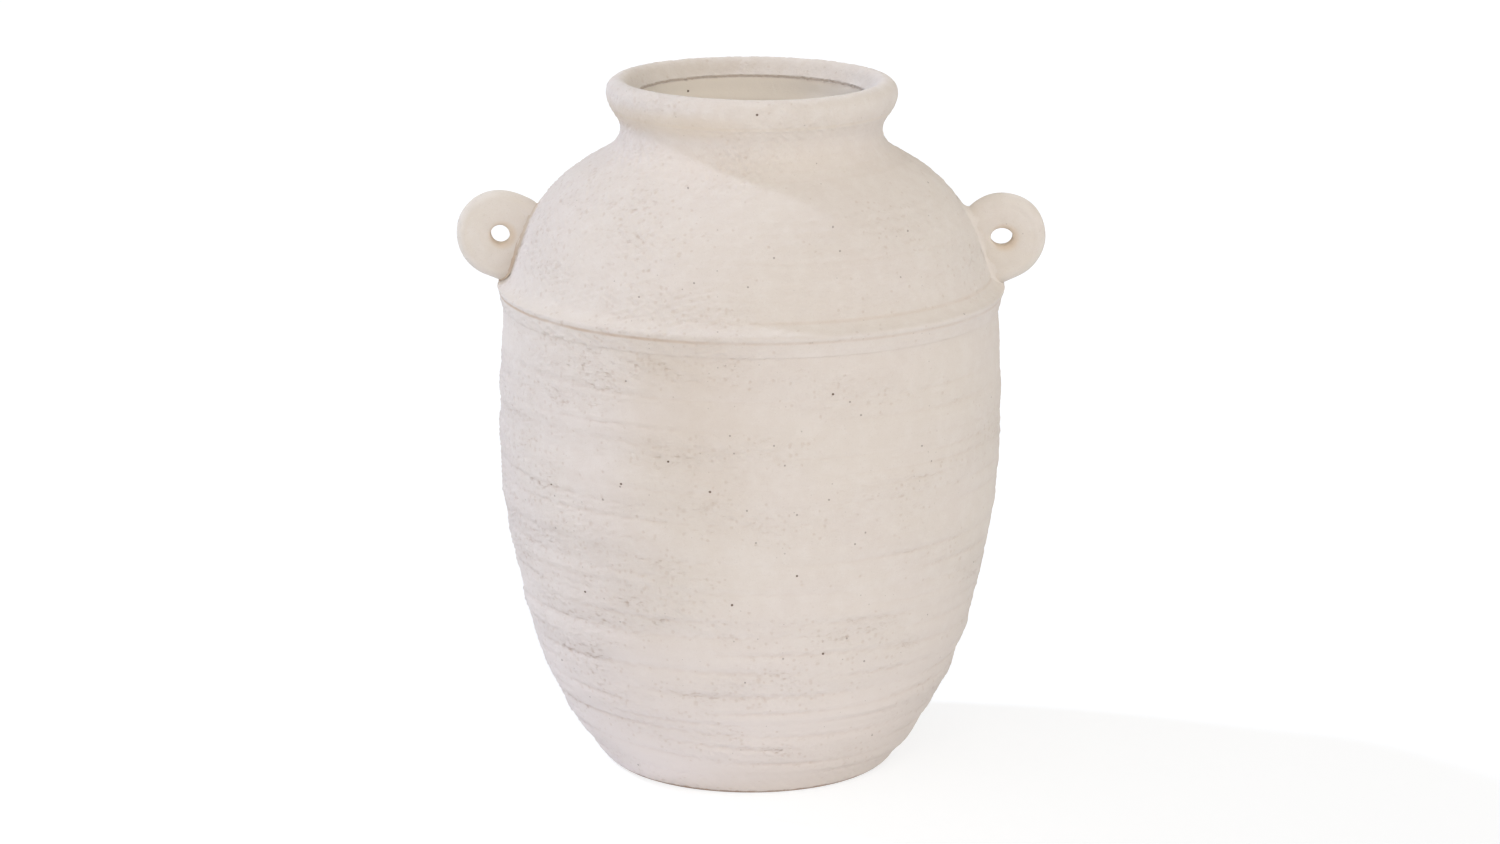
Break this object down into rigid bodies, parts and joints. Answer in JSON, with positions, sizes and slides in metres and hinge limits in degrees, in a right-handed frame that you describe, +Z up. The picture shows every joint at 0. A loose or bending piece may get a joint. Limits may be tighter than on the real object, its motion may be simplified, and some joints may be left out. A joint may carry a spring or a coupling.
{
  "type": "pithos storage jar",
  "caption": "Unglazed clay storage jar in the manner of a Greek pithos: tapering thrown body, ledged shoulder, short neck, rolled rim and pierced disc lugs.",
  "frame": {"origin": "centre of the flat underside of the foot, on the surface the jar stands on", "axes": "+Z up along the axis of the jar, lugs on +X and -X with their holes along Y, front towards -Y"},
  "size_m": [0.2478, 0.2148, 0.2935],
  "materials": {
    "thrown_clay": "unglazed matt, sandy, with throwing rings and iron specks",
    "rim_clay": "unglazed matt, sponged smooth",
    "foot_clay": "unglazed matt, rubbed, slightly darker at the edge",
    "lug_clay": "unglazed matt, hand modelled",
    "seam_clay": "unglazed matt slip, worked with a tool",
    "inner_clay": "unglazed matt, finger pressed"
  },
  "bodies": {
    "root": {"base_slab": "foot_clay", "lower_body": "thrown_clay", "shoulder_dome": "thrown_clay", "shoulder_band": "thrown_clay", "neck_collar": "thrown_clay", "rim_roll": "rim_clay", "right_lug": "lug_clay", "left_lug": "lug_clay", "right_lug_seam": "seam_clay", "left_lug_seam": "seam_clay", "base_joint_coil": "inner_clay", "body_joint_coil": "inner_clay"}
  },
  "joints": []
}
